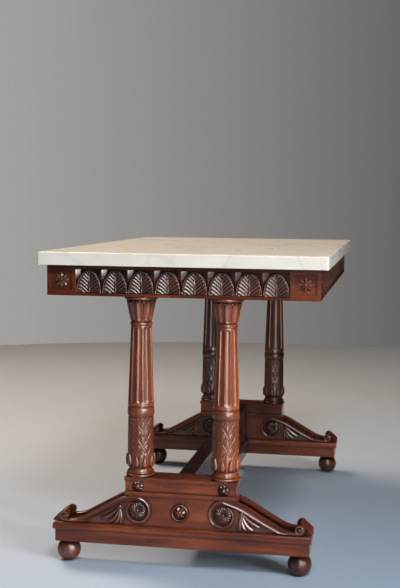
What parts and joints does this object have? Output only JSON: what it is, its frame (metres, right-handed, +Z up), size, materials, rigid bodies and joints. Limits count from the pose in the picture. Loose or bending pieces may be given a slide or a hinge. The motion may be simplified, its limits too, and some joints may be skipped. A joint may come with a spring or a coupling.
{
  "type": "center table",
  "caption": "Rectangular center table: a loose marble slab on a carved frieze frame, carried by fluted columns on scrolled trestles with ball feet and an upright stretcher.",
  "frame": {"origin": "on the floor under the middle of the slab", "axes": "+X along the short ends, +Y along the length away from the front end, +Z up"},
  "size_m": [0.668, 1.1, 0.74],
  "materials": {
    "mahogany": "polished",
    "inner_wood": "matte",
    "marble": "polished",
    "screw_steel": "aged"
  },
  "bodies": {
    "frame": {"ball_foot_front_left": "mahogany", "ball_foot_front_right": "mahogany", "ball_foot_rear_left": "mahogany", "ball_foot_rear_right": "mahogany", "base_screws": "screw_steel", "bearer_screws": "screw_steel", "centre_paterae": "mahogany", "column_bearer_front": "inner_wood", "column_bearer_rear": "inner_wood", "column_front_left": "mahogany", "column_front_right": "mahogany", "column_rear_left": "mahogany", "column_rear_right": "mahogany", "corner_block_front_left": "mahogany", "corner_block_front_right": "mahogany", "corner_block_rear_left": "mahogany", "corner_block_rear_right": "mahogany", "corner_rosettes": "mahogany", "die_paterae": "mahogany", "end_rail_front": "mahogany", "end_rail_rear": "mahogany", "foot_board_front": "mahogany", "foot_board_rear": "mahogany", "foot_plank_front": "mahogany", "foot_plank_rear": "mahogany", "leaf_band_front": "mahogany", "leaf_band_left": "mahogany", "leaf_band_rear": "mahogany", "leaf_band_right": "mahogany", "middle_bearer": "inner_wood", "plinth_die_front": "mahogany", "plinth_die_rear": "mahogany", "scroll_bracket_front_left": "mahogany", "scroll_bracket_front_right": "mahogany", "scroll_bracket_rear_left": "mahogany", "scroll_bracket_rear_right": "mahogany", "side_rail_left": "mahogany", "side_rail_right": "mahogany", "stretcher_board": "mahogany", "stretcher_moulding": "mahogany", "stretcher_plank": "mahogany", "stretcher_screws": "screw_steel", "trestle_block_front": "mahogany", "trestle_block_rear": "mahogany", "volute_roundels": "mahogany"},
    "slab": {"marble_top": "marble"}
  },
  "joints": [
    {"name": "top_lift", "type": "slide", "parent": "frame", "child": "slab", "axis": [0, 0, 1], "range_m": [0, 0.2]}
  ]
}
